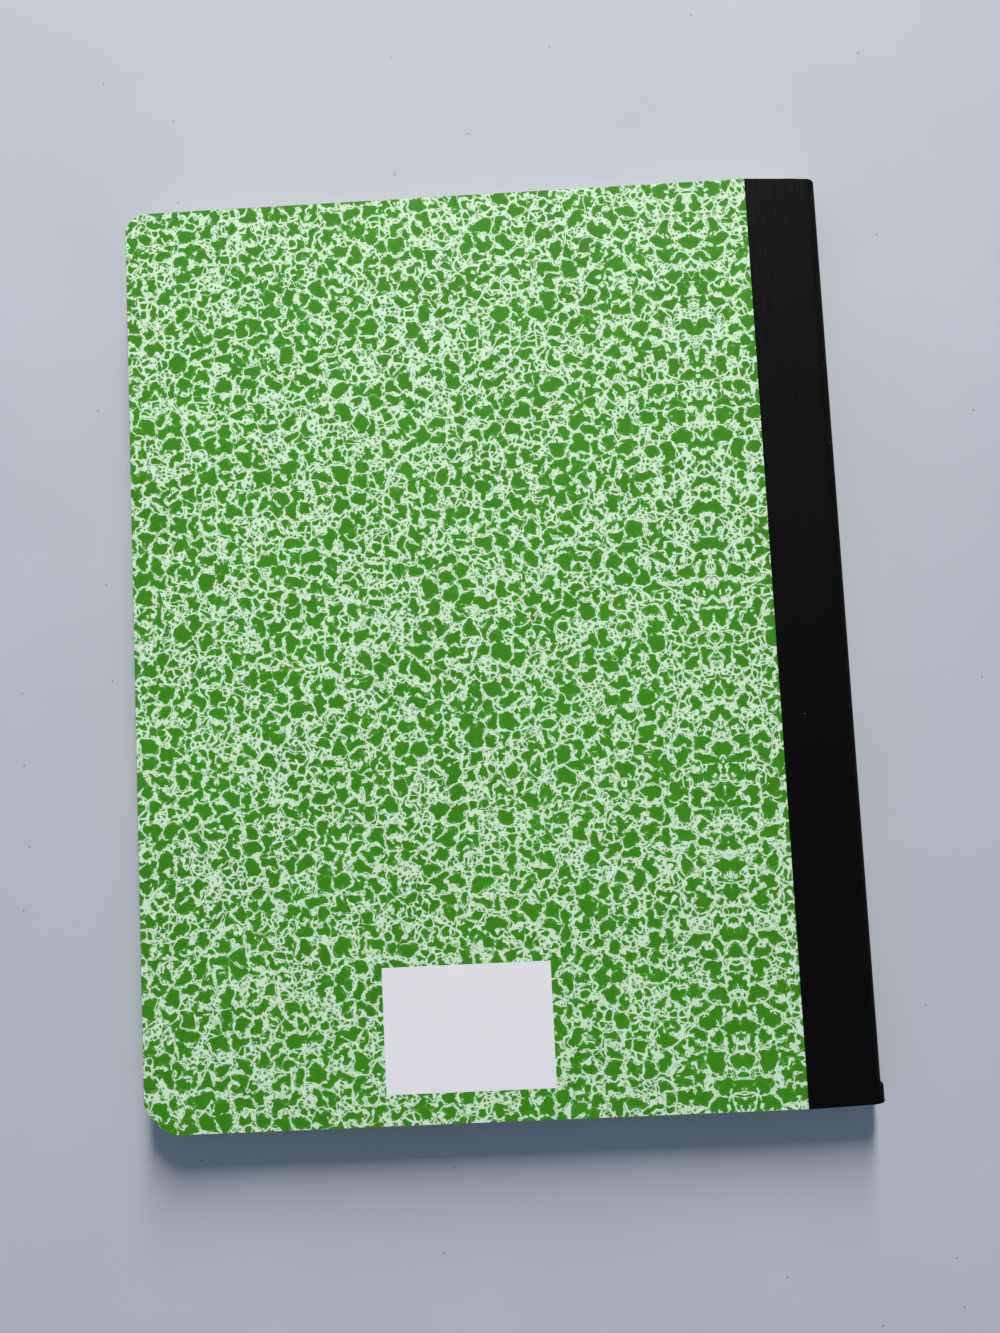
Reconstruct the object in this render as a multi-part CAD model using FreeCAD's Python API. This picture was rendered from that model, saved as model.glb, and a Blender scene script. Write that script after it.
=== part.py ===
# Composition notebook, closed, lying on its front cover with the back cover up.
# Millimetres. +X points to the spine, +Y to the head of the pages, +Z up.
# The origin is under the middle of the notebook, on the surface that it lies on.
# Names that start with x_, y_ or z_ are places, and all others are sizes.
import FreeCAD, Part
import math
import os
import random

from FreeCAD import Vector

# Trimmed size of the closed notebook, tape included
book_width = 190.5
book_height = 247.65

# The pages: sheets folded in half, each of them two leaves
leaf_count = 100
leaf_thickness = 0.08

# The covers: stiff board with a printed paper face
cover_thickness = 0.8
cover_gap = 0.1

# Fore-edge corners, cut in one stroke through the covers and the pages.
# The reach is where the cut meets an edge, and the depth is how far in its middle lies.
head_corner_reach = 5.2
head_corner_depth = 1.8
tail_corner_reach = 8.3
tail_corner_depth = 3.2

# The cloth tape, from its edge on one cover, round the spine, to its edge on the other
tape_thickness = 0.2
tape_cover_width = 19.5
spine_edge_radius = 3.2
wrap_lip = 0.3
hinge_gap = 0.3

# How far the open cover's edge stays beyond the spine
open_clearance = 0.15

# The spine's tail end, pushed out a little by the trimming knife
flare_width = 0.7
flare_length = 4.7
flare_ramp = 0.6

# The thread that sews the folded sheets: two runs, joined by a leg at each stitch hole
thread_radius = 0.25
leg_radius = 0.3
stitch_pitch = 9.0
stitch_margin = 12.0
outer_run_depth = 0.1

# The white panel printed on the back cover, placed from the fore-edge and from the tail
ink_depth = 0.05
panel_width = 44.0
panel_height = 32.2
panel_from_fore_edge = 63.1
panel_from_tail = 7.9

# The print's white marbling, drawn as loose flecks on the green.
# The notch is how near its middle a fleck's outline comes, as a share of its radius.
fleck_pitch = 12.4
fleck_smallest = 2.6
fleck_largest = 5.2
fleck_notch = 0.5
fleck_sides = 6
fleck_margin = 0.8
back_seed = 7
front_seed = 8

# Heights, from the surface up
z_front_face = tape_thickness
z_front_inside = z_front_face + cover_thickness
z_pages_low = z_front_inside + cover_gap
z_pages_high = z_pages_low + leaf_count * leaf_thickness
z_back_inside = z_pages_high + cover_gap
z_back_face = z_back_inside + cover_thickness
z_top = z_back_face + tape_thickness
z_middle = z_top / 2

# Places across the notebook, which is centred with its flare counted in
x_spine = (book_width - flare_width) / 2
x_fore_edge = x_spine - book_width
x_tape_edge = x_spine - tape_cover_width
x_round = x_spine - spine_edge_radius
x_wrap = x_round - wrap_lip
x_cover_end = x_wrap - hinge_gap

# Places along the notebook
y_tail = -book_height / 2
y_head = book_height / 2
y_flare = y_tail + flare_length

# Each cover turns about the middle of the rounded spine edge, at half its own thickness.
# Turned by 180 degrees, it lies beside the spine at the height that it had when closed.
x_hinge = (x_cover_end + x_spine + open_clearance) / 2
z_front_hinge = z_front_inside / 2
z_back_hinge = (z_back_inside + z_top) / 2


def corner_arc(y_edge, inward, reach, depth):
    """The cut across one fore-edge corner, from the head or tail edge to the fore-edge."""
    return Part.Arc(
        Vector(x_fore_edge + reach, y_edge, 0),
        Vector(x_fore_edge + depth, y_edge + inward * depth, 0),
        Vector(x_fore_edge, y_edge + inward * reach, 0),
    ).toShape()


def trimmed_prism(x_end, z_low, z_high):
    """What the trimming leaves of a stack between two heights, square at its spine side."""
    tail_arc = corner_arc(y_tail, 1, tail_corner_reach, tail_corner_depth)
    head_arc = corner_arc(y_head, -1, head_corner_reach, head_corner_depth)
    tail_from, tail_to = (v.Point for v in tail_arc.Vertexes)
    head_from, head_to = (v.Point for v in head_arc.Vertexes)
    corner_tail = Vector(x_end, y_tail, 0)
    corner_head = Vector(x_end, y_head, 0)
    edges = [
        Part.makeLine(corner_tail, tail_from),
        tail_arc,
        Part.makeLine(tail_to, head_to),
        head_arc,
        Part.makeLine(head_from, corner_head),
        Part.makeLine(corner_head, corner_tail),
    ]
    face = Part.Face(Part.Wire(Part.__sortEdges__(edges)))
    face.translate(Vector(0, 0, z_low))
    return face.extrude(Vector(0, 0, z_high - z_low))


def rounded_end(y, shift, inset):
    """Edges of the spine's rounded outline at y, from its upper lip round to its lower lip.

    shift moves the spine outwards, and inset is how far the outline lies inside the tape.
    """
    radius = spine_edge_radius - inset
    x_centre = x_round + shift
    x_out = x_centre + radius
    z_low = inset
    z_high = z_top - inset
    z_low_centre = z_low + radius
    z_high_centre = z_high - radius
    slant = radius * math.sqrt(0.5)
    upper = Part.Arc(
        Vector(x_centre, y, z_high),
        Vector(x_centre + slant, y, z_high_centre + slant),
        Vector(x_out, y, z_high_centre),
    )
    lower = Part.Arc(
        Vector(x_out, y, z_low_centre),
        Vector(x_centre + slant, y, z_low_centre - slant),
        Vector(x_centre, y, z_low),
    )
    return [
        Part.makeLine(Vector(x_wrap, y, z_high), Vector(x_centre, y, z_high)),
        upper.toShape(),
        Part.makeLine(Vector(x_out, y, z_high_centre), Vector(x_out, y, z_low_centre)),
        lower.toShape(),
        Part.makeLine(Vector(x_centre, y, z_low), Vector(x_wrap, y, z_low)),
    ]


def fold_wire(y, shift):
    """Section of the folded sheets where they swell to the full thickness at the spine."""
    edges = rounded_end(y, shift, tape_thickness)
    top = Vector(x_wrap, y, z_top - tape_thickness)
    bottom = Vector(x_wrap, y, tape_thickness)
    return Part.Wire(edges + [Part.makeLine(bottom, top)])


def wrap_wire(y, shift):
    """Section of the tape that is bent round the spine."""
    outer = rounded_end(y, shift, 0)
    inner = rounded_end(y, shift, tape_thickness)
    upper_lip = Part.makeLine(
        Vector(x_wrap, y, z_top - tape_thickness), Vector(x_wrap, y, z_top)
    )
    lower_lip = Part.makeLine(Vector(x_wrap, y, 0), Vector(x_wrap, y, tape_thickness))
    return Part.Wire(Part.__sortEdges__(outer + [lower_lip] + inner + [upper_lip]))


def along_spine(section):
    """A section run along the spine, with its flare at the tail."""
    y_plain = y_flare + flare_ramp
    plain = Part.Face(section(y_plain, 0)).extrude(Vector(0, y_head - y_plain, 0))
    ramp = Part.makeLoft([section(y_flare, flare_width), section(y_plain, 0)], True, True)
    flare = Part.Face(section(y_tail, flare_width)).extrude(Vector(0, flare_length, 0))
    return plain.fuse([ramp, flare]).removeSplitter()


def sewing_thread():
    """The stitching: a run on the outer fold, a run in the middle fold, and the legs."""
    x_spine_fold = x_spine - tape_thickness
    x_outer_run = x_spine_fold - outer_run_depth - thread_radius
    x_inner_run = x_spine_fold - leaf_count / 2 * leaf_thickness
    runs = [
        Part.makeCylinder(
            thread_radius, book_height, Vector(x, y_tail, z_middle), Vector(0, 1, 0)
        )
        for x in (x_outer_run, x_inner_run)
    ]
    sewn_length = book_height - 2 * stitch_margin
    leg_count = int(sewn_length // stitch_pitch) + 1
    y_first = -(leg_count - 1) * stitch_pitch / 2
    legs = [
        Part.makeCylinder(
            leg_radius,
            x_outer_run - x_inner_run,
            Vector(x_inner_run, y_first + i * stitch_pitch, z_middle),
            Vector(1, 0, 0),
        )
        for i in range(leg_count)
    ]
    return runs[0].fuse([runs[1]] + legs).removeSplitter()


def page_block(thread):
    """The hundred leaves as one solid, with the tunnels that the thread fills."""
    leaves = trimmed_prism(x_wrap, z_pages_low, z_pages_high)
    block = leaves.fuse(along_spine(fold_wire)).removeSplitter()
    return block.cut(thread)


def lap(z_low):
    """The strip of tape that lies on a cover."""
    return Part.makeBox(
        x_cover_end - x_tape_edge,
        book_height,
        tape_thickness,
        Vector(x_tape_edge, y_tail, z_low),
    )


def panel():
    """The white panel, as deep as its ink and level with the back cover's face."""
    corner = Vector(
        x_fore_edge + panel_from_fore_edge,
        y_tail + panel_from_tail,
        z_back_face - ink_depth,
    )
    return Part.makeBox(panel_width, panel_height, ink_depth, corner)


def on_paper(x, y, keep):
    """Whether a round spot with this radius stays on the part of a cover that is printed."""
    corner_reach = max(head_corner_reach, tail_corner_reach)
    in_corner = (
        x - keep < x_fore_edge + corner_reach
        and abs(y) + keep > book_height / 2 - corner_reach
    )
    between_edges = x_fore_edge + keep < x < x_tape_edge - keep
    return between_edges and abs(y) + keep < y_head and not in_corner


def meets_panel(x, y, keep):
    """Whether a round spot with this radius reaches the back cover's white panel."""
    x_panel = x_fore_edge + panel_from_fore_edge + panel_width / 2
    y_panel = y_tail + panel_from_tail + panel_height / 2
    beside = abs(x - x_panel) < panel_width / 2 + keep
    return beside and abs(y - y_panel) < panel_height / 2 + keep


def fleck(x, y, z, radius, chance):
    """One white fleck of the print, an uneven flat shape standing as high as its ink."""
    turn = chance.uniform(0, math.tau)
    points = []
    for side in range(fleck_sides):
        angle = turn + math.tau * side / fleck_sides
        reach = radius * chance.uniform(fleck_notch, 1)
        points.append(Vector(x + reach * math.cos(angle), y + reach * math.sin(angle), z))
    face = Part.Face(Part.makePolygon(points + points[:1]))
    return face.extrude(Vector(0, 0, ink_depth))


def marbling(z_low, seed, has_panel):
    """The white flecks of one cover, at uneven places on a net with staggered columns."""
    chance = random.Random(seed)
    play = fleck_pitch / 2 - fleck_largest
    columns = int((x_tape_edge - x_fore_edge) // fleck_pitch) + 1
    rows = int(book_height // fleck_pitch) + 2
    flecks = []
    for column in range(columns):
        y_first = y_tail - column % 2 * fleck_pitch / 2
        for row in range(rows):
            radius = chance.uniform(fleck_smallest, fleck_largest)
            x = x_fore_edge + (column + 0.5) * fleck_pitch + chance.uniform(-play, play)
            y = y_first + (row + 0.5) * fleck_pitch + chance.uniform(-play, play)
            keep = radius + fleck_margin
            if on_paper(x, y, keep) and not (has_panel and meets_panel(x, y, keep)):
                flecks.append(fleck(x, y, z_low, radius, chance))
    return Part.makeCompound(flecks)


def build():
    """Every piece of the notebook, by the name of its node."""
    thread = sewing_thread()
    label = panel()
    back_board = trimmed_prism(x_cover_end, z_back_inside, z_back_face)
    front_board = trimmed_prism(x_cover_end, z_front_face, z_front_inside)
    return {
        "page_block": page_block(thread),
        "sewing_thread": thread,
        "spine_tape_wrap": along_spine(wrap_wire),
        "back_cover": back_board.cut(label),
        "back_label_panel": label,
        "back_marbling": marbling(z_back_face, back_seed, True),
        "back_tape_lap": lap(z_back_face),
        "front_cover": front_board,
        "front_marbling": marbling(z_front_face - ink_depth, front_seed, False),
        "front_tape_lap": lap(0),
    }


def main():
    os.makedirs("parts", exist_ok=True)
    for name, shape in build().items():
        shape.exportStep(f"parts/{name}.step")
        box = shape.BoundBox
        print(
            f"{name}: {len(shape.Solids)} solid(s), valid {shape.isValid()}, "
            f"volume {shape.Volume:.1f}, x {box.XMin:.2f} to {box.XMax:.2f}, "
            f"y {box.YMin:.2f} to {box.YMax:.2f}, z {box.ZMin:.2f} to {box.ZMax:.2f}"
        )
    print(f"hinge x {x_hinge:.4f}, front z {z_front_hinge:.4f}, back z {z_back_hinge:.4f}")


main()
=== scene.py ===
import math
import random

import bmesh
import bpy
from mathutils import Matrix, Vector


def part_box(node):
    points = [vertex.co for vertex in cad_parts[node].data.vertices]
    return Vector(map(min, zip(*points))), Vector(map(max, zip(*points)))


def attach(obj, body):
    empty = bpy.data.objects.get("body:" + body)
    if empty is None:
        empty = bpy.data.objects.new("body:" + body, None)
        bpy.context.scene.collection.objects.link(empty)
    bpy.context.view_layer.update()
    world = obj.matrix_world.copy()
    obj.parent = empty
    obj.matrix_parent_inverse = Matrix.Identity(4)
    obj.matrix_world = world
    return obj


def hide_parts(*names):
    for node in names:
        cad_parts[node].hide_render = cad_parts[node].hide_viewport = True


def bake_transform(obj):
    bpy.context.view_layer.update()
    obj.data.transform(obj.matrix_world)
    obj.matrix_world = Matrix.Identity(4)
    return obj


bl_info = {
    "name": "Composition Notebook",
    "version": (1, 0, 0),
    "blender": (4, 5, 0),
    "location": "View3D > Sidebar > Notebook",
    "description": "Makes a taped notebook with marbled covers",
    "category": "Object",
}

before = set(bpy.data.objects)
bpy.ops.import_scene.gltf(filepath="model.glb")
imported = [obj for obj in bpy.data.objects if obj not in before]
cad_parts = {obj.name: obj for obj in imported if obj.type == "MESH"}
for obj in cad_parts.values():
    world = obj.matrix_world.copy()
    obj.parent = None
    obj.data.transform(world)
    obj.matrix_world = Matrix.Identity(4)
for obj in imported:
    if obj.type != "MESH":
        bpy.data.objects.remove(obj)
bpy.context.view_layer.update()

# Where the frame puts each piece, in metres
COVER_LOW, COVER_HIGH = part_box("back_cover")
FRONT_LOW, FRONT_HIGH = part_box("front_cover")
LEAVES_LOW, LEAVES_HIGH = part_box("page_block")
LAP_LOW, LAP_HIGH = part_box("back_tape_lap")
WRAP_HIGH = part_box("spine_tape_wrap")[1]
PANEL_LOW, PANEL_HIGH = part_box("back_label_panel")
MM = 0.001
FOLD_RADIUS = 3.0 * MM


# Colours and nodes


def linear(code):
    """A colour written as an sRGB hex code, as the linear red, green and blue that Blender mixes."""
    parts = [int(code[i : i + 2], 16) / 255 for i in (1, 3, 5)]
    return tuple(p / 12.92 if p <= 0.04045 else ((p + 0.055) / 1.055) ** 2.4 for p in parts)


def add_node(tree, kind, inputs=None, **settings):
    """Adds a node with its settings. An input is a value, a socket, or a node, for its first output."""
    node = tree.nodes.new(kind)
    for name, value in settings.items():
        setattr(node, name, value)
    for key, value in (inputs or {}).items():
        if isinstance(value, bpy.types.Node):
            value = value.outputs[0]
        if isinstance(value, bpy.types.NodeSocket):
            tree.links.new(value, node.inputs[key])
        else:
            node.inputs[key].default_value = value
    return node


def new_material(name):
    """An empty material, and its node tree."""
    material = bpy.data.materials.new(name)
    material.use_nodes = True
    material.node_tree.nodes.clear()
    return material, material.node_tree


def finished(material, surface):
    """The material, once a shader with these inputs is led to its surface."""
    tree = material.node_tree
    shader = add_node(tree, "ShaderNodeBsdfPrincipled", surface)
    add_node(tree, "ShaderNodeOutputMaterial", {"Surface": shader})
    return material


def millimetres(tree):
    """The place on a piece, in millimetres of the frame."""
    place = add_node(tree, "ShaderNodeTexCoord").outputs["Object"]
    return add_node(tree, "ShaderNodeVectorMath", {0: place, "Scale": 1000.0}, operation="SCALE")


# Properties

COLOUR = {"subtype": "COLOR", "size": 3, "min": 0.0, "max": 1.0}
LENGTH = {"subtype": "DISTANCE", "unit": "LENGTH"}
PLACE = {"subtype": "TRANSLATION", "unit": "LENGTH", "size": 3}


class MarblingProperties(bpy.types.PropertyGroup):
    green: bpy.props.FloatVectorProperty(
        name="Green ink",
        description="Ink of the marbled print",
        default=linear("#3C8F0E"),
        **COLOUR,
    )
    white: bpy.props.FloatVectorProperty(
        name="White paper",
        description="Paper that shows between the drops of ink",
        default=linear("#DCF8DC"),
        **COLOUR,
    )
    panel: bpy.props.FloatVectorProperty(
        name="Bare panel",
        description="Unprinted panel on the back cover",
        default=linear("#F4F4FC"),
        **COLOUR,
    )
    big_drop: bpy.props.FloatProperty(
        name="Large drops",
        description="Distance between the largest drops of ink, in millimetres",
        default=4.55,
        min=1.0,
    )
    middle_drop: bpy.props.FloatProperty(
        name="Middle drops",
        description="Distance between the drops that fill the veins, in millimetres",
        default=2.3,
        min=0.5,
    )
    speck: bpy.props.FloatProperty(
        name="Specks",
        description="Distance between the smallest specks, in millimetres",
        default=1.2,
        min=0.2,
    )
    fold_line: bpy.props.FloatProperty(
        name="Mirror line",
        description="Place across the cover about which the print repeats mirrored",
        default=59.4 * MM,
        **LENGTH,
    )


class BoardProperties(bpy.types.PropertyGroup):
    edge: bpy.props.FloatVectorProperty(
        name="Board edge",
        description="Core of the pasteboard, seen at its cut edge",
        default=linear("#8F8C84"),
        **COLOUR,
    )
    lining: bpy.props.FloatVectorProperty(
        name="Lining",
        description="Paper inside the covers",
        default=linear("#E2E3DF"),
        **COLOUR,
    )
    head_reach: bpy.props.FloatProperty(
        name="Head corner reach",
        description="Where the cut of the head corner meets an edge, from the square corner",
        default=5.2 * MM,
        **LENGTH,
    )
    head_depth: bpy.props.FloatProperty(
        name="Head corner depth",
        description="How far the middle of that cut lies from both edges",
        default=1.8 * MM,
        **LENGTH,
    )
    tail_reach: bpy.props.FloatProperty(
        name="Tail corner reach",
        description="Where the cut of the tail corner meets an edge, from the square corner",
        default=8.3 * MM,
        **LENGTH,
    )
    tail_depth: bpy.props.FloatProperty(
        name="Tail corner depth",
        description="How far the middle of that cut lies from both edges",
        default=3.2 * MM,
        **LENGTH,
    )
    edge_rounding: bpy.props.FloatProperty(
        name="Edge rounding",
        description="How far the knife and handling rounded the board's edges",
        default=0.12 * MM,
        precision=5,
        **LENGTH,
    )


class LeafProperties(bpy.types.PropertyGroup):
    paper: bpy.props.FloatVectorProperty(
        name="Paper",
        description="Writing paper of the leaves",
        default=linear("#E6E6E2"),
        **COLOUR,
    )
    rule: bpy.props.FloatVectorProperty(
        name="Rules",
        description="Ink of the writing lines",
        default=linear("#9DBBD6"),
        **COLOUR,
    )
    margin: bpy.props.FloatVectorProperty(
        name="Margin line",
        description="Ink of the line beside the margin",
        default=linear("#DE9AA6"),
        **COLOUR,
    )
    sheets: bpy.props.IntProperty(
        name="Folded sheets",
        description="Sheets of two leaves each, folded into one another",
        default=50,
        min=4,
        max=80,
    )
    rule_pitch: bpy.props.FloatProperty(
        name="Rule distance",
        description="Distance between the writing lines",
        default=8.7 * MM,
        **LENGTH,
    )


class TapeProperties(bpy.types.PropertyGroup):
    cloth: bpy.props.FloatVectorProperty(
        name="Cloth",
        description="Dyed and starched cloth of the spine tape",
        default=linear("#030304"),
        **COLOUR,
    )
    thickness: bpy.props.FloatProperty(
        name="Thickness",
        description="Thickness of the tape with its glue",
        default=0.2 * MM,
        precision=5,
        **LENGTH,
    )
    radius: bpy.props.FloatProperty(
        name="Shoulder radius",
        description="Outer radius of the tape where it turns from a cover onto the spine",
        default=3.2 * MM,
        **LENGTH,
    )
    flare_width: bpy.props.FloatProperty(
        name="Flare",
        description="How far the trimming knife pushed the spine out at its tail end",
        default=0.7 * MM,
        **LENGTH,
    )
    flare_length: bpy.props.FloatProperty(
        name="Flare length",
        description="Length of the pushed out tail end, with its step",
        default=4.7 * MM,
        **LENGTH,
    )
    flare_step: bpy.props.FloatProperty(
        name="Flare step",
        description="Length over which the flare begins",
        default=0.6 * MM,
        **LENGTH,
    )
    head_slant: bpy.props.FloatProperty(
        name="Head slant",
        description="How much the head end falls back from the tape's edge to the spine",
        default=1.3 * MM,
        **LENGTH,
    )
    tail_slant: bpy.props.FloatProperty(
        name="Tail slant",
        description="How much the tail end falls back from the tape's edge to the spine",
        default=0.6 * MM,
        precision=5,
        **LENGTH,
    )
    thread_pitch: bpy.props.FloatProperty(
        name="Weave",
        description="Distance between the threads of the cloth, in millimetres",
        default=0.4,
        min=0.1,
    )


class StageProperties(bpy.types.PropertyGroup):
    table: bpy.props.FloatVectorProperty(
        name="Table",
        description="Pale table top",
        default=linear("#C2CAD4"),
        **COLOUR,
    )
    sky: bpy.props.FloatVectorProperty(
        name="Fill light",
        description="Colour of the light that comes from all round",
        subtype="COLOR",
        size=3,
        min=0.0,
        soft_max=1.5,
        default=(0.78, 1.0, 1.25),
    )
    sky_strength: bpy.props.FloatProperty(
        name="Fill strength",
        description="Strength of the light that comes from all round",
        default=0.2,
        min=0.0,
    )
    lamp_power: bpy.props.FloatProperty(
        name="Lamp power",
        description="Power of the tall soft lamp beyond the head",
        subtype="POWER",
        unit="POWER",
        default=11.8,
    )
    lamp_colour: bpy.props.FloatVectorProperty(
        name="Lamp colour",
        description="Colour of that lamp",
        subtype="COLOR",
        size=3,
        default=(1.08, 1.0, 0.92),
        soft_max=1.2,
    )
    lamp_width: bpy.props.FloatProperty(
        name="Lamp width",
        description="Width of the lamp",
        default=0.28,
        **LENGTH,
    )
    lamp_height: bpy.props.FloatProperty(
        name="Lamp height",
        description="Height of the lamp",
        default=1.1,
        **LENGTH,
    )
    lamp_place: bpy.props.FloatVectorProperty(
        name="Lamp place",
        description="Middle of the lamp",
        default=(0.18, 1.76, 0.88),
        **PLACE,
    )
    lamp_aim: bpy.props.FloatVectorProperty(
        name="Lamp aim",
        description="Place on the table that the lamp faces",
        default=(0.0, 0.3, 0.0),
        **PLACE,
    )
    lamp_spread: bpy.props.FloatProperty(
        name="Lamp spread",
        description="Angle of the lamp's beam, so that the table under it stays plain",
        subtype="ANGLE",
        unit="ROTATION",
        default=math.radians(80.0),
    )
    table_size: bpy.props.FloatProperty(
        name="Table size",
        description="Side of the square table top",
        default=4.0,
        **LENGTH,
    )


# Patterns that several materials share


def cloudy(tree, place, colour, size, detail, low, high, **settings):
    """A colour made darker and lighter, between two shares of it, by soft noise of a size, and the noise."""
    noise = {"Vector": place, "Scale": 1 / size, "Detail": detail}
    noise = add_node(tree, "ShaderNodeTexNoise", noise, **settings)
    share = add_node(tree, "ShaderNodeMapRange", {0: noise, 1: 0.3, 2: 0.7, 3: low, 4: high})
    scaled = {0: tuple(colour), "Scale": share}
    return add_node(tree, "ShaderNodeVectorMath", scaled, operation="SCALE"), noise


def with_specks(tree, place, colour, cell, size, share, speck):
    """The colour with specks of a size scattered over it, in a share of cells, all in millimetres."""
    scattered = add_node(
        tree,
        "ShaderNodeTexVoronoi",
        {"Vector": place, "Scale": 1 / cell},
        feature="F1",
        voronoi_dimensions="2D",
    )
    near = add_node(
        tree,
        "ShaderNodeMath",
        {0: scattered.outputs["Distance"], 1: size / cell / 2},
        operation="LESS_THAN",
    )
    chance = add_node(tree, "ShaderNodeSeparateColor", {0: scattered.outputs["Color"]})
    chosen = add_node(tree, "ShaderNodeMath", {0: chance, 1: share}, operation="LESS_THAN")
    specks = add_node(tree, "ShaderNodeMath", {0: near, 1: chosen}, operation="MULTIPLY")
    mixed = add_node(
        tree, "ShaderNodeMix", {"Factor": specks, 6: colour, 7: (*linear(speck), 1.0)}, data_type="RGBA"
    )
    return mixed.outputs[2]


# The marbled print


def soft_noise(tree, place, size, apart):
    """Soft noise with waves of one size, where apart keeps two noises unlike."""
    moved = add_node(tree, "ShaderNodeVectorMath", {0: place, 1: (apart, -apart, 0)}, operation="ADD")
    return add_node(
        tree,
        "ShaderNodeTexNoise",
        {"Vector": moved, "Scale": 1 / size, "Detail": 1.0, "Roughness": 0.5},
        noise_dimensions="2D",
    )


def wavering(tree, place, size, amount, apart):
    """The place pushed about by soft noise, as the film of ink drifts on the marbling bath.

    size is how far apart the pushes are, and amount how far they go.
    """
    noise = soft_noise(tree, place, size, apart)
    push = add_node(
        tree, "ShaderNodeVectorMath", {0: noise.outputs["Color"], 1: (0.5, 0.5, 0.5)}, operation="SUBTRACT"
    )
    push = add_node(tree, "ShaderNodeVectorMath", {0: push, "Scale": 2 * amount}, operation="SCALE")
    return add_node(tree, "ShaderNodeVectorMath", {0: place, 1: push}, operation="ADD")


def patches(tree, place, size, threshold, steepness, apart):
    """Uneven patches that go from 0 to 1 where soft noise passes the threshold."""
    noise = soft_noise(tree, place, size, apart)
    return add_node(
        tree,
        "ShaderNodeMath",
        {0: noise, 1: steepness, 2: 0.5 - threshold * steepness},
        operation="MULTIPLY_ADD",
        use_clamp=True,
    )


def cells(tree, place, pitch, roundness, randomness=1.0):
    """A sheet of cells, such as drops make where they press on one another, in millimetres.

    Gives the depth inside a cell's walls, the depth inside its round outline, and its chance number.
    """
    layout = {"Vector": place, "Scale": 1 / pitch, "Randomness": randomness}
    wall = add_node(
        tree, "ShaderNodeTexVoronoi", layout, feature="DISTANCE_TO_EDGE", voronoi_dimensions="2D"
    )
    walls = add_node(tree, "ShaderNodeMath", {0: wall.outputs["Distance"], 1: pitch}, operation="MULTIPLY")
    middle = add_node(tree, "ShaderNodeTexVoronoi", layout, feature="F1", voronoi_dimensions="2D")
    outline = add_node(
        tree,
        "ShaderNodeMath",
        {0: middle.outputs["Distance"], 1: -pitch, 2: roundness * pitch},
        operation="MULTIPLY_ADD",
    )
    chance = add_node(tree, "ShaderNodeSeparateColor", {0: middle.outputs["Color"]})
    return walls, outline, chance


def filled_cells(tree, walls, outline, chance, vein, widest_vein, share):
    """Depth in the ink where a share of the cells holds a drop, and below zero in veins and empty cells."""
    drop = add_node(tree, "ShaderNodeMath", {0: walls, 1: vein}, operation="SUBTRACT")
    drop = add_node(tree, "ShaderNodeMath", {0: drop, 1: outline}, operation="MINIMUM")
    empty = add_node(tree, "ShaderNodeMath", {0: walls, 1: -1.0, 2: -widest_vein}, operation="MULTIPLY_ADD")
    filled = add_node(tree, "ShaderNodeMath", {0: chance, 1: share}, operation="LESS_THAN")
    return add_node(tree, "ShaderNodeMix", {"Factor": filled, "A": empty, "B": drop}, data_type="FLOAT")


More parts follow.
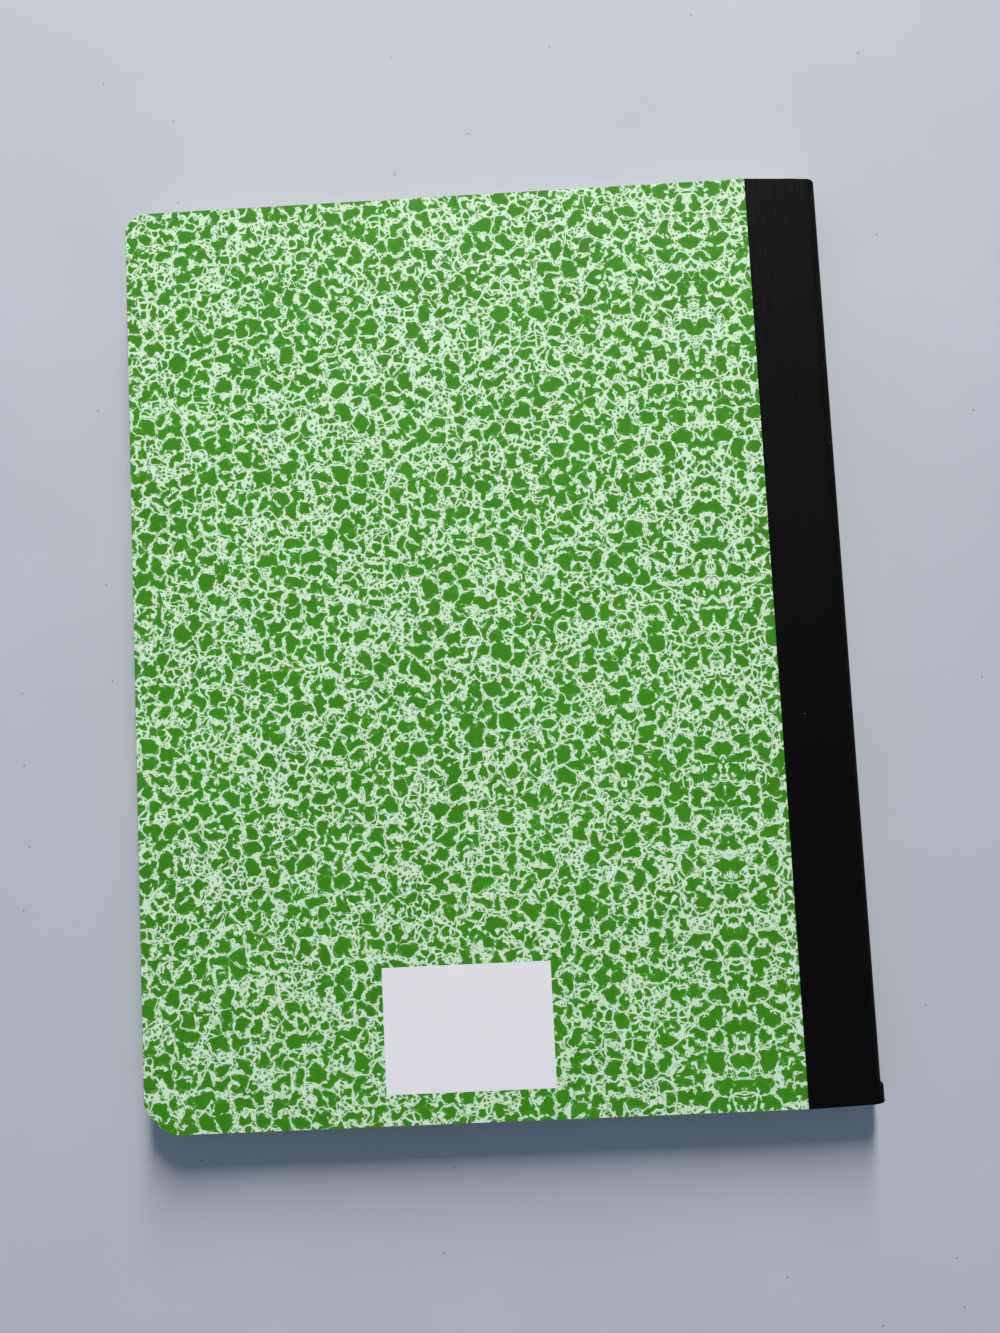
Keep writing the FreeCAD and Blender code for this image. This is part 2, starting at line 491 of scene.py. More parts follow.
def ink_cover(tree, place, sizes):
    """Depth in the ink, in millimetres and below zero on bare paper, for a print laid out in millimetres.

    Three sizes of drop lie on the bath. The large ones press on one another and leave thin veins.
    Where one is missing, and in the bays at their rims, middle ones fill in, and specks fill the rest.
    The lengths below are in millimetres.
    """
    half_vein = 0.268
    vein_closing = 0.355
    middle_vein_closing = 0.3
    bay_depth = 0.743
    core_depth = 0.5
    middle_gap = 0.455
    speck_gap = 0.34
    speck_spacing = 0.05
    speck_play = 0.332 * sizes.speck

    drift = wavering(tree, place, size=4.1, amount=2.397, apart=13.0)
    large_place = wavering(tree, drift, size=1.767, amount=0.29, apart=47.0)
    small_place = wavering(tree, place, size=2.4, amount=0.552, apart=29.0)

    # In patches the veins close and drops run together, and in others large drops are missing
    merging = patches(tree, place, size=3.4, threshold=0.56, steepness=11.31, apart=91.0)
    froth = patches(tree, place, size=5.343, threshold=0.5, steepness=1.013, apart=5.0)
    vein = add_node(
        tree, "ShaderNodeMath", {0: merging, 1: -vein_closing, 2: half_vein}, operation="MULTIPLY_ADD"
    )
    walls, outline, chance = cells(tree, large_place, sizes.big_drop, roundness=0.593)
    chance = add_node(tree, "ShaderNodeMath", {0: chance, 1: froth}, operation="ADD")
    large = filled_cells(tree, walls, outline, chance, vein, half_vein, share=1.28)

    # Bays that the veins between middle drops cut into the rims of the large ones
    walls, outline, chance = cells(tree, small_place, sizes.middle_drop, roundness=0.625)
    bays = patches(tree, place, size=2.216, threshold=0.52, steepness=8.0, apart=33.0)
    bays = add_node(tree, "ShaderNodeMath", {0: bays, 1: -bay_depth, 2: walls}, operation="MULTIPLY_ADD")
    core = add_node(tree, "ShaderNodeMath", {0: large, 1: core_depth}, operation="SUBTRACT")
    bays = add_node(tree, "ShaderNodeMath", {0: bays, 1: core}, operation="MAXIMUM")
    ink = add_node(tree, "ShaderNodeMath", {0: large, 1: bays}, operation="MINIMUM")

    # Middle drops, held off the large ones by a vein
    vein = add_node(
        tree,
        "ShaderNodeMath",
        {0: merging, 1: -middle_vein_closing, 2: half_vein},
        operation="MULTIPLY_ADD",
    )
    middle = filled_cells(tree, walls, outline, chance, vein, half_vein, share=0.65)
    off_large = add_node(
        tree, "ShaderNodeMath", {0: large, 1: -1.0, 2: -middle_gap}, operation="MULTIPLY_ADD"
    )
    middle = add_node(tree, "ShaderNodeMath", {0: middle, 1: off_large}, operation="MINIMUM")
    ink = add_node(tree, "ShaderNodeMath", {0: ink, 1: middle}, operation="MAXIMUM")

    # Specks in the middle of every white place that is wide enough
    walls, outline, chance = cells(tree, small_place, sizes.speck, roundness=0.536, randomness=0.966)
    specks = add_node(
        tree, "ShaderNodeMath", {0: chance, 1: -speck_play, 2: outline}, operation="MULTIPLY_ADD"
    )
    apart = add_node(tree, "ShaderNodeMath", {0: walls, 1: speck_spacing}, operation="SUBTRACT")
    specks = add_node(tree, "ShaderNodeMath", {0: specks, 1: apart}, operation="MINIMUM")
    off_ink = add_node(tree, "ShaderNodeMath", {0: ink, 1: -1.0, 2: -speck_gap}, operation="MULTIPLY_ADD")
    specks = add_node(tree, "ShaderNodeMath", {0: specks, 1: off_ink}, operation="MINIMUM")
    return add_node(tree, "ShaderNodeMath", {0: ink, 1: specks}, operation="MAXIMUM")


def varnished(material, colour, fibres):
    """The material as paper of this colour under dull varnish, which its fibres raise a little."""
    tree = material.node_tree
    gloss = add_node(tree, "ShaderNodeMapRange", {0: fibres, 1: 0.3, 2: 0.7, 3: 0.66, 4: 0.76}, clamp=True)
    bump = add_node(tree, "ShaderNodeBump", {"Height": fibres, "Strength": 0.12, "Distance": 0.00002})
    surface = {
        "Base Color": colour,
        "Roughness": gloss,
        "IOR": 1.5,
        "Specular IOR Level": 0.25,
        "Normal": bump,
    }
    return finished(material, surface)


def marbled_cover_paper(sizes):
    """Offset-printed and varnished cover paper on pasteboard.

    The varnish gives the eye a dull even sheen. The ink is not quite even, the paper's fibres raise
    it a little, and the white is the bare paper.
    """
    material, tree = new_material("varnished_marbled_paper")
    place = millimetres(tree)
    parts = add_node(tree, "ShaderNodeSeparateXYZ", {0: place})

    # Printing plates repeat mirrored, and the two covers are cut from other places of the sheet
    across = add_node(
        tree, "ShaderNodeMath", {0: parts.outputs["X"], 1: -sizes.fold_line / MM}, operation="ADD"
    )
    across = add_node(tree, "ShaderNodeMath", {0: across}, operation="ABSOLUTE")
    along = add_node(
        tree,
        "ShaderNodeMath",
        {0: parts.outputs["Z"], 1: 37.3, 2: parts.outputs["Y"]},
        operation="MULTIPLY_ADD",
    )
    sheet = add_node(tree, "ShaderNodeCombineXYZ", {"X": across, "Y": along})
    depth = ink_cover(tree, sheet, sizes)

    # The print's edge is 0.2 mm soft, and the ink thins towards it over 0.7 mm
    ink = add_node(
        tree, "ShaderNodeMath", {0: depth, 1: 1 / 0.2, 2: 0.5}, operation="MULTIPLY_ADD", use_clamp=True
    )
    thin = add_node(tree, "ShaderNodeMapRange", {0: depth, 1: 0.0, 2: 0.7, 3: 1.18, 4: 0.94}, clamp=True)

    # Ink density drifts over centimetres, and speckles with the paper's fibres, drawn 0.5 mm wide to show
    drift = add_node(tree, "ShaderNodeTexNoise", {"Vector": place, "Scale": 1 / 18, "Detail": 2.0})
    fibres = add_node(tree, "ShaderNodeTexNoise", {"Vector": place, "Scale": 2.0, "Detail": 3.0})
    density = add_node(tree, "ShaderNodeMath", {0: drift, 1: fibres}, operation="ADD")
    density = add_node(
        tree, "ShaderNodeMapRange", {0: density, 1: 0.7, 2: 1.3, 3: 0.88, 4: 1.12}, clamp=True
    )
    density = add_node(tree, "ShaderNodeMath", {0: density, 1: thin}, operation="MULTIPLY")
    green = add_node(
        tree, "ShaderNodeVectorMath", {0: tuple(sizes.green), "Scale": density}, operation="SCALE"
    )
    colour = add_node(
        tree, "ShaderNodeMix", {"Factor": ink, 6: (*sizes.white, 1.0), 7: green}, data_type="RGBA"
    )
    return varnished(material, colour.outputs[2], fibres)


def bare_print(sizes):
    """Unprinted place of the same varnished paper: white, with the paper's faint clouding."""
    material, tree = new_material("varnished_white_paper")
    place = millimetres(tree)
    colour, _ = cloudy(tree, place, sizes.panel, 6, 4.0, 0.985, 1.01)
    fibres = add_node(tree, "ShaderNodeTexNoise", {"Vector": place, "Scale": 2.0, "Detail": 3.0})
    return varnished(material, colour, fibres)


# Board, paper, cloth and thread


def cut_pasteboard(board):
    """Grey pasteboard cut by a guillotine.

    The core of recycled fibre shows as thin uneven layers along the edge, and it is quite matt.
    """
    material, tree = new_material("cut_pasteboard")
    place = millimetres(tree)
    # Layers of about 0.15 mm, long in the board's plane
    stretched = add_node(
        tree, "ShaderNodeVectorMath", {0: place, 1: (0.5, 0.5, 6.5)}, operation="MULTIPLY"
    )
    colour, layers = cloudy(tree, stretched, board.edge, 1, 4.0, 0.75, 1.2)
    bump = add_node(tree, "ShaderNodeBump", {"Height": layers, "Strength": 0.5, "Distance": 0.00005})
    return finished(material, {"Base Color": colour, "Roughness": 0.9, "IOR": 1.45, "Normal": bump})


def lining_paper(board):
    """Uncoated white paper pasted inside the covers: matt, with soft clouds of fibre."""
    material, tree = new_material("pasted_lining_paper")
    place = millimetres(tree)
    colour, clouds = cloudy(tree, place, board.lining, 4, 6.0, 0.95, 1.03)
    bump = add_node(tree, "ShaderNodeBump", {"Height": clouds, "Strength": 0.2, "Distance": 0.00004})
    return finished(material, {"Base Color": colour, "Roughness": 0.8, "IOR": 1.45, "Normal": bump})


def ruled_writing_paper(leaves):
    """Uncoated woodfree writing paper with thin printed rules.

    It is matt and slightly clouded. Pale blue lines run across the page under a wider head margin,
    and one pale red line stands beside the spine.
    """
    material, tree = new_material("ruled_writing_paper")
    place = millimetres(tree)
    parts = add_node(tree, "ShaderNodeSeparateXYZ", {0: place})
    pitch = leaves.rule_pitch / MM

    head_margin = 24.0
    side_margin = 32.0
    half_rule = 0.16
    half_margin_line = 0.2

    # Distance from the nearest rule, and rules only below the head margin
    phase = add_node(
        tree, "ShaderNodeMath", {0: parts.outputs["Y"], 1: pitch / 2, 2: -pitch / 2}, operation="WRAP"
    )
    off_rule = add_node(tree, "ShaderNodeMath", {0: phase}, operation="ABSOLUTE")
    on_rule = add_node(tree, "ShaderNodeMath", {0: off_rule, 1: half_rule}, operation="LESS_THAN")
    first_rule = LEAVES_HIGH.y / MM - head_margin
    below_head = add_node(
        tree, "ShaderNodeMath", {0: parts.outputs["Y"], 1: first_rule}, operation="LESS_THAN"
    )
    on_rule = add_node(tree, "ShaderNodeMath", {0: on_rule, 1: below_head}, operation="MULTIPLY")
    margin_line = LEAVES_HIGH.x / MM - side_margin
    off_margin = add_node(
        tree, "ShaderNodeMath", {0: parts.outputs["X"], 1: margin_line}, operation="SUBTRACT"
    )
    off_margin = add_node(tree, "ShaderNodeMath", {0: off_margin}, operation="ABSOLUTE")
    on_margin = {0: off_margin, 1: half_margin_line}
    on_margin = add_node(tree, "ShaderNodeMath", on_margin, operation="LESS_THAN")

    colour, clouds = cloudy(tree, place, leaves.paper, 3, 6.0, 0.96, 1.02)
    colour = add_node(
        tree, "ShaderNodeMix", {"Factor": on_rule, 6: colour, 7: (*leaves.rule, 1.0)}, data_type="RGBA"
    )
    colour = add_node(
        tree,
        "ShaderNodeMix",
        {"Factor": on_margin, 6: colour.outputs[2], 7: (*leaves.margin, 1.0)},
        data_type="RGBA",
    )
    bump = add_node(tree, "ShaderNodeBump", {"Height": clouds, "Strength": 0.15, "Distance": 0.00004})
    return finished(
        material, {"Base Color": colour.outputs[2], "Roughness": 0.85, "IOR": 1.45, "Normal": bump}
    )


def cut_paper_edges(leaves):
    """Edges of writing paper cut by a guillotine.

    They are painted about half as bright as the pages, as painted shade for the light that is lost between
    the leaves, and streaked leaf by leaf.
    """
    material, tree = new_material("cut_writing_paper")
    place = millimetres(tree)
    # One streak a leaf, 0.08 mm, is too fine to show, so groups of leaves are drawn 0.3 mm thick
    stretched = add_node(
        tree, "ShaderNodeVectorMath", {0: place, 1: (0.05, 0.05, 3.3)}, operation="MULTIPLY"
    )
    # Painted shade: the paper's colour is darkened to about half, and the noise streaks it
    colour, _ = cloudy(tree, stretched, leaves.paper, 1, 5.0, 0.44, 0.62)
    return finished(material, {"Base Color": colour, "Roughness": 0.9, "IOR": 1.45})


def starched_book_cloth(tape):
    """Woven cotton book cloth, dyed black and filled with starch.

    The filling leaves only a faint weave, with long threads showing more than cross ones, and a
    dull sheen where the light grazes. A few pale specks of dust cling to it.
    """
    material, tree = new_material("starched_book_cloth")
    spread = add_node(tree, "ShaderNodeUVMap", uv_map="cloth")
    parts = add_node(tree, "ShaderNodeSeparateXYZ", {0: spread})
    turn = 2 * math.pi / tape.thread_pitch
    # Threads every 0.4 mm: real ones are finer, and this is as coarse as they need to show
    across = add_node(tree, "ShaderNodeMath", {0: parts.outputs["X"], 1: turn}, operation="MULTIPLY")
    across = add_node(tree, "ShaderNodeMath", {0: across}, operation="SINE")
    along = add_node(tree, "ShaderNodeMath", {0: parts.outputs["Y"], 1: turn}, operation="MULTIPLY")
    along = add_node(tree, "ShaderNodeMath", {0: along}, operation="SINE")
    weave = add_node(tree, "ShaderNodeMath", {0: along, 1: 0.5, 2: across}, operation="MULTIPLY_ADD")
    long_threads = add_node(
        tree, "ShaderNodeVectorMath", {0: spread, 1: (2.2, 0.12, 0)}, operation="MULTIPLY"
    )
    colour, slubs = cloudy(tree, long_threads, tape.cloth, 1, 4.0, 0.8, 1.25, noise_dimensions="2D")
    height = add_node(tree, "ShaderNodeMath", {0: slubs, 1: 3.0, 2: weave}, operation="MULTIPLY_ADD")
    bump = add_node(tree, "ShaderNodeBump", {"Height": height, "Strength": 0.18, "Distance": 0.00003})

    # Dust: one cell of 6 mm in fourteen holds a speck of about 0.25 mm
    colour = with_specks(tree, spread, colour, 6, 0.25, 0.07, "#6E7178")
    gloss = add_node(tree, "ShaderNodeMapRange", {0: slubs, 1: 0.3, 2: 0.7, 3: 0.62, 4: 0.78})
    surface = {
        "Base Color": colour,
        "Roughness": gloss,
        "IOR": 1.45,
        "Specular IOR Level": 0.11,
        "Normal": bump,
    }
    return finished(material, surface)


def twisted_cotton():
    """White cotton sewing thread, three strands twisted: matt, with slanting dark lines of painted shade in
    the grooves between strands.
    """
    material, tree = new_material("twisted_cotton_thread")
    place = millimetres(tree)
    # One strand shows every 0.4 mm along the thread
    twist = add_node(
        tree,
        "ShaderNodeTexWave",
        {"Vector": place, "Scale": 0.9, "Distortion": 0.4},
        wave_type="BANDS",
        bands_direction="DIAGONAL",
    )
    # The darker of the two colours is painted shade in the grooves between strands, not a dye
    colour = add_node(
        tree,
        "ShaderNodeMix",
        {"Factor": twist.outputs["Fac"], 6: (*linear("#B9B7AF"), 1.0), 7: (*linear("#E4E2DA"), 1.0)},
        data_type="RGBA",
    )
    bump = add_node(
        tree, "ShaderNodeBump", {"Height": twist.outputs["Fac"], "Strength": 0.5, "Distance": 0.00005}
    )
    return finished(
        material, {"Base Color": colour.outputs[2], "Roughness": 0.85, "IOR": 1.5, "Normal": bump}
    )


def painted_table(stage):
    """Matt-painted table top: nearly plain, with faint clouds, a roller's orange peel and a few specks."""
    material, tree = new_material("rolled_matt_paint")
    place = millimetres(tree)
    colour, _ = cloudy(tree, place, stage.table, 60, 3.0, 0.97, 1.02)
    peel = add_node(tree, "ShaderNodeTexNoise", {"Vector": place, "Scale": 1 / 1.5, "Detail": 2.0})
    # Specks of dirt: one cell of 22 mm in four holds one of about 0.5 mm
    colour = with_specks(tree, place, colour, 22, 0.5, 0.25, "#8E9196")
    bump = add_node(tree, "ShaderNodeBump", {"Height": peel, "Strength": 0.14, "Distance": 0.00005})
    surface = {
        "Base Color": colour,
        "Roughness": 0.85,
        "IOR": 1.45,
        "Specular IOR Level": 0.3,
        "Normal": bump,
    }
    return finished(material, surface)


# Shapes


def finish_piece(name, mesh_data, materials, smooth=False):
    """An object in the scene from a bmesh, with its materials in order."""
    mesh = bpy.data.meshes.new(name)
    bmesh.ops.recalc_face_normals(mesh_data, faces=mesh_data.faces)
    mesh_data.to_mesh(mesh)
    mesh_data.free()
    for material in materials:
        mesh.materials.append(material)
    for polygon in mesh.polygons:
        polygon.use_smooth = smooth
    piece = bpy.data.objects.new(name, mesh)
    bpy.context.scene.collection.objects.link(piece)
    return piece


def corner_circle(reach, depth):
    """How far the circle's middle lies from both edges, and its radius."""
    middle = (reach**2 - 2 * depth**2) / (2 * reach - 4 * depth)
    return middle, math.hypot(reach - middle, middle)


def corner_cut(reach, depth, count):
    """Points on the arc of one corner cut, from the square corner: how far along each edge they lie."""
    middle, radius = corner_circle(reach, depth)
    start = math.atan2(-middle, reach - middle)
    end = math.atan2(reach - middle, -middle)
    if end > start:
        end -= 2 * math.pi
    points = []
    for i in range(count + 1):
        angle = start + (end - start) * i / count
        points.append((middle + radius * math.cos(angle), middle + radius * math.sin(angle)))
    return points


def cut_limit(inward, reach, depth):
    """How far from the head or tail edge the corner cut lies, at a distance inward from the fore-edge."""
    if inward >= reach:
        return 0.0
    middle, radius = corner_circle(reach, depth)
    return middle - math.sqrt(max(0.0, radius**2 - (inward - middle) ** 2))


def slant(x, amount):
    """How far an end falls back at a place across: nothing up to the tape's edge, all of it at the spine."""
    across = (x - LAP_LOW.x) / (WRAP_HIGH.x - LAP_LOW.x)
    return amount * min(1.0, max(0.0, across))


def board_shape(board, tape, low, high):
    """A cover board with its two cut corners and slightly rounded edges, as a bmesh.

    Its printed, cut and lined faces take materials 0, 1 and 2. The printed one is on top.
    """
    outline = [
        (LAP_LOW.x, low.y),
        (high.x, low.y + slant(high.x, tape.tail_slant)),
        (high.x, high.y - slant(high.x, tape.head_slant)),
        (LAP_LOW.x, high.y),
    ]
    for along_x, along_y in corner_cut(board.head_reach, board.head_depth, 14):
        outline.append((low.x + along_x, high.y - along_y))
    for along_x, along_y in reversed(corner_cut(board.tail_reach, board.tail_depth, 18)):
        outline.append((low.x + along_x, low.y + along_y))
    shape = bmesh.new()
    lower = [shape.verts.new((x, y, low.z)) for x, y in outline]
    upper = [shape.verts.new((x, y, high.z)) for x, y in outline]
    top = shape.faces.new(upper)
    bottom = shape.faces.new(list(reversed(lower)))
    count = len(outline)
    for i in range(count):
        follow = (i + 1) % count
        shape.faces.new((lower[i], lower[follow], upper[follow], upper[i]))
    rims = list(top.edges) + list(bottom.edges)
    bmesh.ops.bevel(shape, geom=rims, offset=board.edge_rounding, segments=2, affect="EDGES", profile=0.5)
    shape.normal_update()
    for face in shape.faces:
        if face.normal.z > 0.99:
            face.material_index = 0
        elif face.normal.z < -0.99:
            face.material_index = 2
        else:
            face.material_index = 1
    return shape


def make_cover(name, low, high, printed_up):
    """One cover with its print, its cut edge and its lining."""
    scene = bpy.context.scene
    board = scene.notebook_board
    shape = board_shape(board, scene.notebook_tape, low, high)
    if not printed_up:
        for face in shape.faces:
            face.material_index = {0: 2, 1: 1, 2: 0}[face.material_index]
    materials = [
        marbled_cover_paper(scene.notebook_marbling),
        cut_pasteboard(board),
        lining_paper(board),
    ]
    return finish_piece(name, shape, materials)


def sheet_profile(share, fold_x, half):
    """One face of a folded sheet from where it leaves the pile to its fold: x, and height over the middle.

    share is how far the face lies from the middle of the block, from 0 to 1.
    """
    full = (LEAVES_HIGH.z - LEAVES_LOW.z) / 2 * share
    radius = FOLD_RADIUS * share
    swell_from = fold_x - 3.6 * MM * share
    swell_over = 1.1 * MM * share
    xs = [swell_from]
    xs += [swell_from + swell_over * i / 4 for i in range(1, 4)]
    xs += [fold_x - radius * (1 - math.sin(math.pi / 2 * i / 7)) for i in range(2, 8)]
    points = []
    for x in sorted(xs):
        away = max(0.0, x - (fold_x - radius))
        bent = full - radius + math.sqrt(max(0.0, radius**2 - away**2))
        t = min(1.0, max(0.0, (x - swell_from) / max(swell_over, 1e-9)))
        height = half + (bent - half) * t * t * (3 - 2 * t)
        points.append((x, height))
    return points


def leaves_shape(leaves, board, tape):
    """The folded sheets, nested in one another, each a thin closed strip, as a bmesh."""
    chance = random.Random(11)
    middle = (LEAVES_LOW.z + LEAVES_HIGH.z) / 2
    air = 0.1 * MM
    paper_share = 0.88
    unevenness = 0.06 * MM
    half_all = (COVER_LOW.z - FRONT_HIGH.z) / 2 - air
    step = half_all / leaves.sheets
    thickness = step * paper_share
    fore = LEAVES_LOW.x
    tail = LEAVES_LOW.y
    head = LEAVES_HIGH.y
    fold_all = WRAP_HIGH.x - tape.flare_width - tape.thickness
    flare_ends = tail + tape.flare_length
    flare_begins = flare_ends + tape.flare_step
    corner = sorted(
        {round(p[0], 7) for p in corner_cut(board.head_reach, board.head_depth, 8)}
        | {round(p[0], 7) for p in corner_cut(board.tail_reach, board.tail_depth, 10)}
        | {LAP_LOW.x - fore}
    )
    shape = bmesh.new()
    for i in range(leaves.sheets):
        half = half_all - step * i
        share = half / half_all
        fold_x = fold_all - step * i
        inset = chance.uniform(0.0, unevenness)
        # Outer and inner line of the section, from the upper fore-edge round the fold to the lower one
        deep = half - thickness
        outer = [(fore + inset + u, half) for u in corner]
        inner = [(fore + inset + u, deep) for u in corner]
        outer += sheet_profile(share, fold_x, half)
        inner += sheet_profile(deep / half_all, fold_x - thickness, deep)
        outer = outer + [(x, -z) for x, z in reversed(outer)]
        inner = inner + [(x, -z) for x, z in reversed(inner)]
        columns = []
        for (x_out, z_out), (x_in, z_in) in zip(outer, inner):
            inward = x_out - fore
            cut = cut_limit(inward, board.tail_reach, board.tail_depth)
            low = tail + cut + slant(x_out, tape.tail_slant)
            high = head - cut_limit(inward, board.head_reach, board.head_depth)
            high -= slant(x_out, tape.head_slant)
            rows = [low, flare_ends, flare_begins, high]
            if cut > 0:
                third = (high - low) / 3
                rows = [low, low + third, low + 2 * third, high]
            column = []
            for row, y in enumerate(rows):
                bulge = 0.0
                if row < 2 and cut == 0:
                    lean = (x_out - (fold_all - FOLD_RADIUS)) / FOLD_RADIUS
                    bulge = tape.flare_width * share * min(1.0, max(0.0, lean))
                column.append(
                    (
                        shape.verts.new((x_out + bulge, y, middle + z_out)),
                        shape.verts.new((x_in + bulge, y, middle + z_in)),
                    )
                )
            columns.append(column)
        for left, right in zip(columns, columns[1:]):
            for a, b, c, d in zip(left, right, left[1:], right[1:]):
                shape.faces.new((a[0], b[0], d[0], c[0])).material_index = 0
                shape.faces.new((a[1], c[1], d[1], b[1])).material_index = 0
            for a, b in ((left[0], right[0]), (right[-1], left[-1])):
                shape.faces.new((a[0], a[1], b[1], b[0])).material_index = 1
        for end in (columns[0], columns[-1]):
            for a, b in zip(end, end[1:]):
                shape.faces.new((a[0], b[0], b[1], a[1])).material_index = 1
    return shape


def tape_shape(tape, upper):
    """Half of the tape, from its edge on one cover to mid spine, as a bmesh with its cloth map."""
    chance = random.Random(5 if upper else 6)
    radius = tape.radius
    spine = WRAP_HIGH.x - tape.flare_width
    top = LAP_HIGH.z
    middle = (LEAVES_LOW.z + LEAVES_HIGH.z) / 2
    centre_x = spine - radius
    centre_z = top - radius
    edge = LAP_LOW.x

    # The section: a point and the way its outer side faces, from the edge on the cover to mid spine
    section = []
    for x in (0.0, 0.06, 0.5, 3.0, 6.0, 9.0, 12.0, 14.0, 15.0, 15.7):
        section.append((edge + x * MM, top, 0.0, 1.0))
    for i in range(13):
        angle = math.pi / 2 * (1 - i / 12)
        facing = (math.cos(angle), math.sin(angle))
        section.append((centre_x + radius * facing[0], centre_z + radius * facing[1], *facing))
    for i in range(1, 4):
        section.append((spine, centre_z + (middle - centre_z) * i / 3, 1.0, 0.0))

    tail = LAP_LOW.y
    head = LAP_HIGH.y
    flare_ends = tail + tape.flare_length
    end_strip = 0.3 * MM
    plain_rows = 110
    rows = [tail, tail + end_strip, tail + 1.5 * MM, tail + 3.0 * MM]
    rows += [flare_ends + tape.flare_step * i / 4 for i in range(5)]
    plain = rows[-1]
    rows += [plain + (head - end_strip - plain) * i / plain_rows for i in range(1, plain_rows + 1)]
    rows.append(head)

    # The knife's cut at the head is a little uneven, and the slit edge on the cover is wavy and worn thin
    worn_off = 0.14 * MM
    uneven = [chance.uniform(-1, 1) for _ in range(len(section))]
    shape = bmesh.new()
    cloth = shape.loops.layers.uv.new("cloth")
    spread = {}
    grid = []
    for row, y in enumerate(rows):
        t = min(1.0, max(0.0, (flare_ends + tape.flare_step - y) / tape.flare_step))
        push = tape.flare_width * t * t * (3 - 2 * t)
        wave = 0.03 * MM * math.sin(y / MM * 0.21 + 1.0) + 0.02 * MM * math.sin(y / MM * 0.83)
        line = []
        length = 0.0
        for column, (x, z, face_x, face_z) in enumerate(section):
            if column:
                length += math.hypot(x - section[column - 1][0], z - section[column - 1][1])
            lean = min(1.0, max(0.0, (x - centre_x) / radius))
            place_x = x + push * math.sin(lean * math.pi / 2)
            if column == 0:
                place_x += abs(wave)
            place_y = y
            if row < 2:
                place_y += slant(x, tape.tail_slant)
            if row > len(rows) - 3:
                place_y -= slant(x, tape.head_slant)
            if row == len(rows) - 1:
                place_y -= 0.05 * MM * (1 + uneven[column])
            sunk = worn_off if column == 0 else 0.0
            pair = []
            for depth in (sunk, tape.thickness):
                height = z - depth * face_z
                if not upper:
                    height = 2 * middle - height
                vertex = shape.verts.new((place_x - depth * face_x, place_y, height))
                spread[vertex] = (length / MM, place_y / MM)
                pair.append(vertex)
            line.append(pair)
        grid.append(line)
    for line, follow in zip(grid, grid[1:]):
        for a, b, c, d in zip(line, line[1:], follow, follow[1:]):
            shape.faces.new((a[0], b[0], d[0], c[0]))
            shape.faces.new((a[1], c[1], d[1], b[1]))
        shape.faces.new((line[0][0], follow[0][0], follow[0][1], line[0][1]))
    for line in (grid[0], grid[-1]):
        for a, b in zip(line, line[1:]):
            shape.faces.new((a[0], a[1], b[1], b[0]))
    for face in shape.faces:
        for loop in face.loops:
            loop[cloth].uv = spread[loop.vert]
    return shape


# Operators


class NOTEBOOK_OT_back_cover(bpy.types.Operator):
    """Makes the back cover with its marbled print and its bare white panel"""

    bl_idname = "notebook.back_cover"
    bl_label = "Back Cover"
    bl_options = {"REGISTER", "UNDO"}

    def execute(self, context):
        cover = make_cover("back_cover_board", COVER_LOW, COVER_HIGH, True)
        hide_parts("back_cover", "back_marbling")
        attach(cover, "back_cover_body")

        # The panel stands 0.01 mm proud of the print, so that it covers the marbling
        shape = bmesh.new()
        proud = 0.01 * MM
        size = PANEL_HIGH - PANEL_LOW
        centre = (PANEL_HIGH + PANEL_LOW) / 2
        centre.z += proud / 2
        bmesh.ops.create_cube(shape, size=1.0)
        bmesh.ops.scale(shape, vec=(size.x, size.y, size.z + proud), verts=shape.verts)
        bmesh.ops.translate(shape, vec=centre, verts=shape.verts)
        upright = [e for e in shape.edges if abs(e.verts[0].co.z - e.verts[1].co.z) > 1e-6]
        bmesh.ops.bevel(shape, geom=upright, offset=0.15 * MM, segments=3, affect="EDGES", profile=0.5)
        panel = finish_piece("back_panel_print", shape, [bare_print(context.scene.notebook_marbling)])
        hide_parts("back_label_panel")
        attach(panel, "back_cover_body")
        return {"FINISHED"}


class NOTEBOOK_OT_front_cover(bpy.types.Operator):
    """Makes the front cover with its marbled print"""

    bl_idname = "notebook.front_cover"
    bl_label = "Front Cover"
    bl_options = {"REGISTER", "UNDO"}

    def execute(self, context):
        cover = make_cover("front_cover_board", FRONT_LOW, FRONT_HIGH, False)
        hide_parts("front_cover", "front_marbling")
        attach(cover, "front_cover_body")
        return {"FINISHED"}


class NOTEBOOK_OT_leaves(bpy.types.Operator):
    """Makes the folded sheets, and gives the sewing thread its cotton"""

    bl_idname = "notebook.leaves"
    bl_label = "Leaves and Thread"
    bl_options = {"REGISTER", "UNDO"}

    def execute(self, context):
        scene = context.scene
        leaves = scene.notebook_leaves
        shape = leaves_shape(leaves, scene.notebook_board, scene.notebook_tape)
        materials = [ruled_writing_paper(leaves), cut_paper_edges(leaves)]
        block = finish_piece("folded_sheets", shape, materials)
        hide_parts("page_block")
        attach(block, "pages")

        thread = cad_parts["sewing_thread"]
        thread.data.materials.clear()
        thread.data.materials.append(twisted_cotton())
        return {"FINISHED"}


class NOTEBOOK_OT_tape(bpy.types.Operator):
    """Makes the cloth tape, in two halves that meet along the middle of the spine"""

    bl_idname = "notebook.tape"
    bl_label = "Spine Tape"
    bl_options = {"REGISTER", "UNDO"}

    def execute(self, context):
        tape = context.scene.notebook_tape
        cloth = starched_book_cloth(tape)

        back = finish_piece("back_half_tape", tape_shape(tape, True), [cloth], smooth=True)
        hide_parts("back_tape_lap", "spine_tape_wrap")
        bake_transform(back)

        front = finish_piece("front_half_tape", tape_shape(tape, False), [cloth], smooth=True)
        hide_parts("front_tape_lap")
        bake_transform(front)
        return {"FINISHED"}


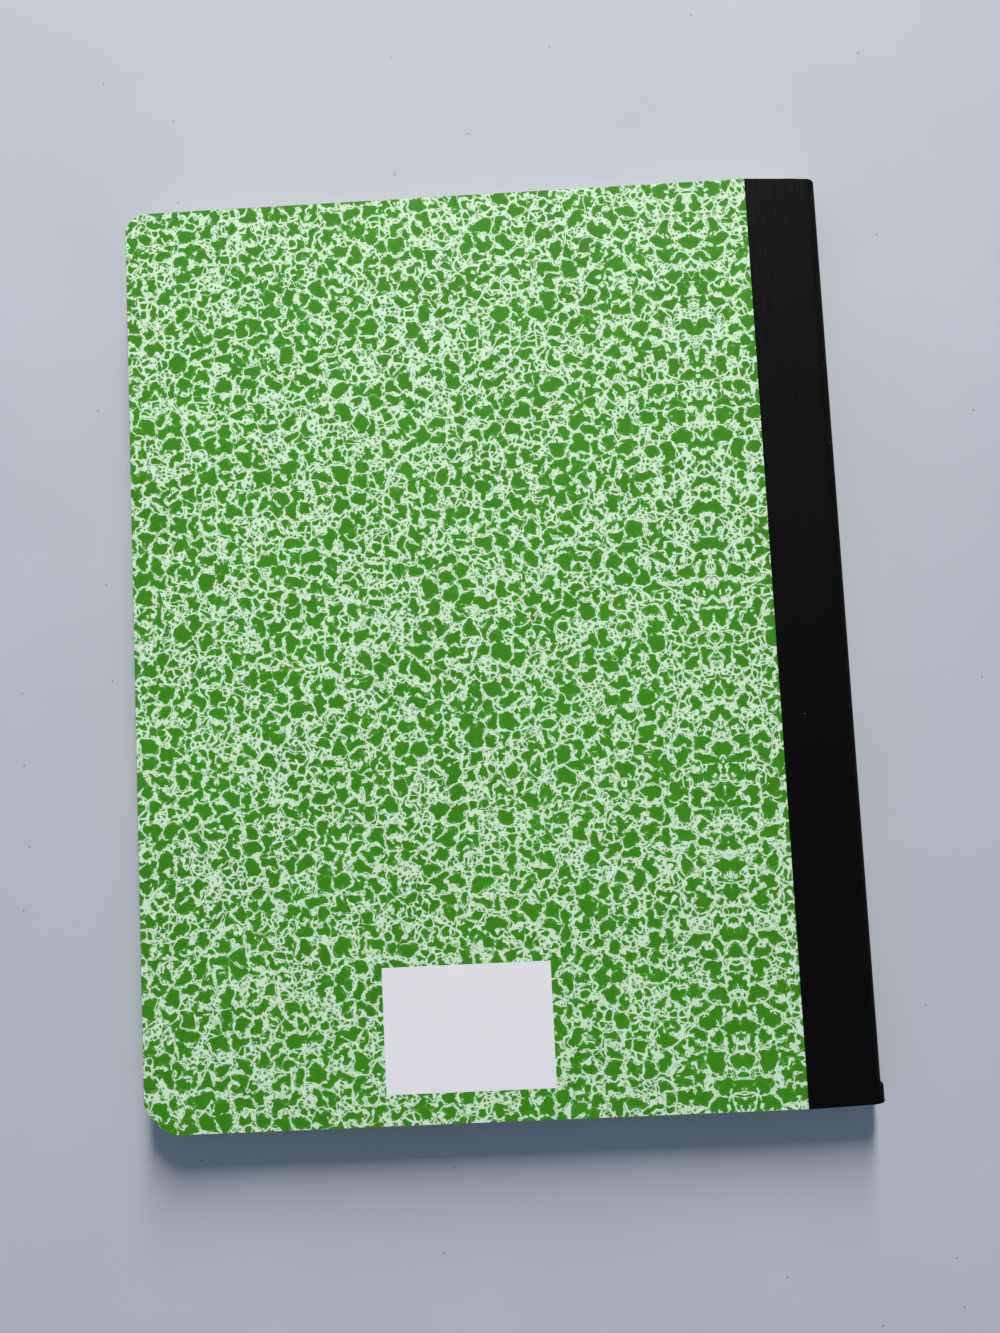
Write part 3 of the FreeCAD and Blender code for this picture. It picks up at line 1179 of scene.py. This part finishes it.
class NOTEBOOK_OT_stage(bpy.types.Operator):
    """Makes the table top, the lights and the camera"""

    bl_idname = "notebook.stage"
    bl_label = "Table, Lights and Camera"
    bl_options = {"REGISTER", "UNDO"}

    def execute(self, context):
        scene = context.scene
        stage = scene.notebook_stage
        shape = bmesh.new()
        bmesh.ops.create_grid(shape, x_segments=8, y_segments=8, size=stage.table_size / 2)
        bmesh.ops.translate(shape, vec=(0.0, 0.0, -0.02 * MM), verts=shape.verts)
        table = finish_piece("table_top", shape, [painted_table(stage)])

        world = bpy.data.worlds.new("soft_room_light")
        world.use_nodes = True
        background = world.node_tree.nodes["Background"]
        background.inputs["Color"].default_value = (*stage.sky, 1.0)
        background.inputs["Strength"].default_value = stage.sky_strength
        scene.world = world

        light = bpy.data.lights.new("window_lamp", "AREA")
        light.shape = "RECTANGLE"
        light.size = stage.lamp_width
        light.size_y = stage.lamp_height
        light.energy = stage.lamp_power
        light.color = stage.lamp_colour
        light.spread = stage.lamp_spread
        lamp = bpy.data.objects.new("window_lamp", light)
        lamp.location = stage.lamp_place
        beam = Vector(stage.lamp_aim) - Vector(stage.lamp_place)
        lamp.rotation_euler = beam.to_track_quat("-Z", "Y").to_euler()
        scene.collection.objects.link(lamp)

        # The camera looks down at the notebook from 0.27 m, a little from the tail side
        right = Vector((0.99859186, -0.04858751, -0.02129652))
        down = Vector((-0.05004185, -0.99599271, -0.07412383))
        forward = Vector((-0.01760969, 0.07508517, -0.99702162))
        turned = Matrix((right, -down, -forward)).transposed().to_4x4()
        lens = bpy.data.cameras.new("view_from_above")
        lens.lens = 27.0
        lens.sensor_width = 36.0
        lens.clip_start = 0.01
        camera = bpy.data.objects.new("view_from_above", lens)
        camera.matrix_world = Matrix.Translation((0.00679, -0.02658, 0.27456)) @ turned
        scene.collection.objects.link(camera)
        scene.camera = camera
        scene.view_settings.view_transform = "Standard"
        return {"FINISHED"}


# Panel and registration


class NOTEBOOK_PT_pieces(bpy.types.Panel):
    """Lists the pieces of the notebook"""

    bl_idname = "NOTEBOOK_PT_pieces"
    bl_label = "Composition Notebook"
    bl_space_type = "VIEW_3D"
    bl_region_type = "UI"
    bl_category = "Notebook"

    def draw(self, context):
        layout = self.layout
        for operator in PIECES:
            layout.operator(operator.bl_idname)
        for group in GROUPS:
            box = layout.box()
            for name in GROUPS[group].__annotations__:
                box.prop(getattr(context.scene, group), name)


PIECES = (
    NOTEBOOK_OT_back_cover,
    NOTEBOOK_OT_front_cover,
    NOTEBOOK_OT_leaves,
    NOTEBOOK_OT_tape,
    NOTEBOOK_OT_stage,
)
GROUPS = {
    "notebook_marbling": MarblingProperties,
    "notebook_board": BoardProperties,
    "notebook_leaves": LeafProperties,
    "notebook_tape": TapeProperties,
    "notebook_stage": StageProperties,
}


def register():
    for name, group in GROUPS.items():
        bpy.utils.register_class(group)
        setattr(bpy.types.Scene, name, bpy.props.PointerProperty(type=group))
    for operator in PIECES:
        bpy.utils.register_class(operator)
    bpy.utils.register_class(NOTEBOOK_PT_pieces)


def unregister():
    bpy.utils.unregister_class(NOTEBOOK_PT_pieces)
    for operator in reversed(PIECES):
        bpy.utils.unregister_class(operator)
    for name, group in reversed(GROUPS.items()):
        delattr(bpy.types.Scene, name)
        bpy.utils.unregister_class(group)


def main():
    register()
    bpy.ops.notebook.back_cover()
    bpy.ops.notebook.front_cover()
    bpy.ops.notebook.leaves()
    bpy.ops.notebook.tape()
    bpy.ops.notebook.stage()
    bpy.context.view_layer.update()


if __name__ == "__main__":
    main()
